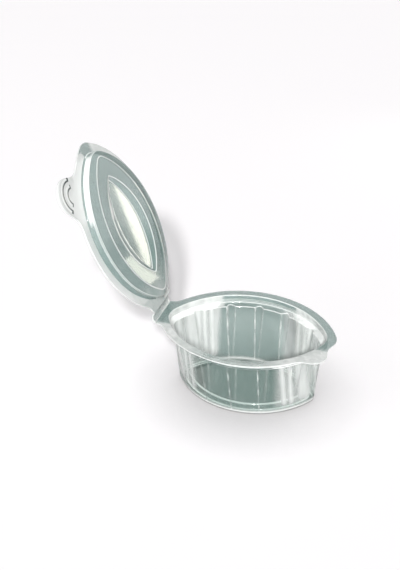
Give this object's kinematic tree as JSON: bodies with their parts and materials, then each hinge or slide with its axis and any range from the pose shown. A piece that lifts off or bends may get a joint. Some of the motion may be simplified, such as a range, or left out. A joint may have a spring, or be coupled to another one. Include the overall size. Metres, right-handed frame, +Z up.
{
  "type": "sauce cup with lid",
  "caption": "Clear plastic pointed-oval sauce cup with a fluted wall and a hinged snap lid standing open, with thumb tabs.",
  "frame": {"origin": "middle of the foot ring, on the surface the cup stands on", "axes": "+Z up; +X from the hinge to the opposite tip; -Y the side with the thumb tabs"},
  "size_m": [0.104, 0.0578, 0.1031],
  "materials": {
    "clear_sheet": "gloss"
  },
  "bodies": {
    "cup": {"cup": "clear_sheet", "hinge": "clear_sheet"},
    "lid": {"lid": "clear_sheet"}
  },
  "joints": [
    {"name": "lid_hinge", "type": "hinge", "parent": "cup", "child": "lid", "pos_m": [-0.03785, 0, 0.03365], "axis": [0, 1, 0], "range_deg": [-66, 114], "deforming": ["hinge"]}
  ]
}
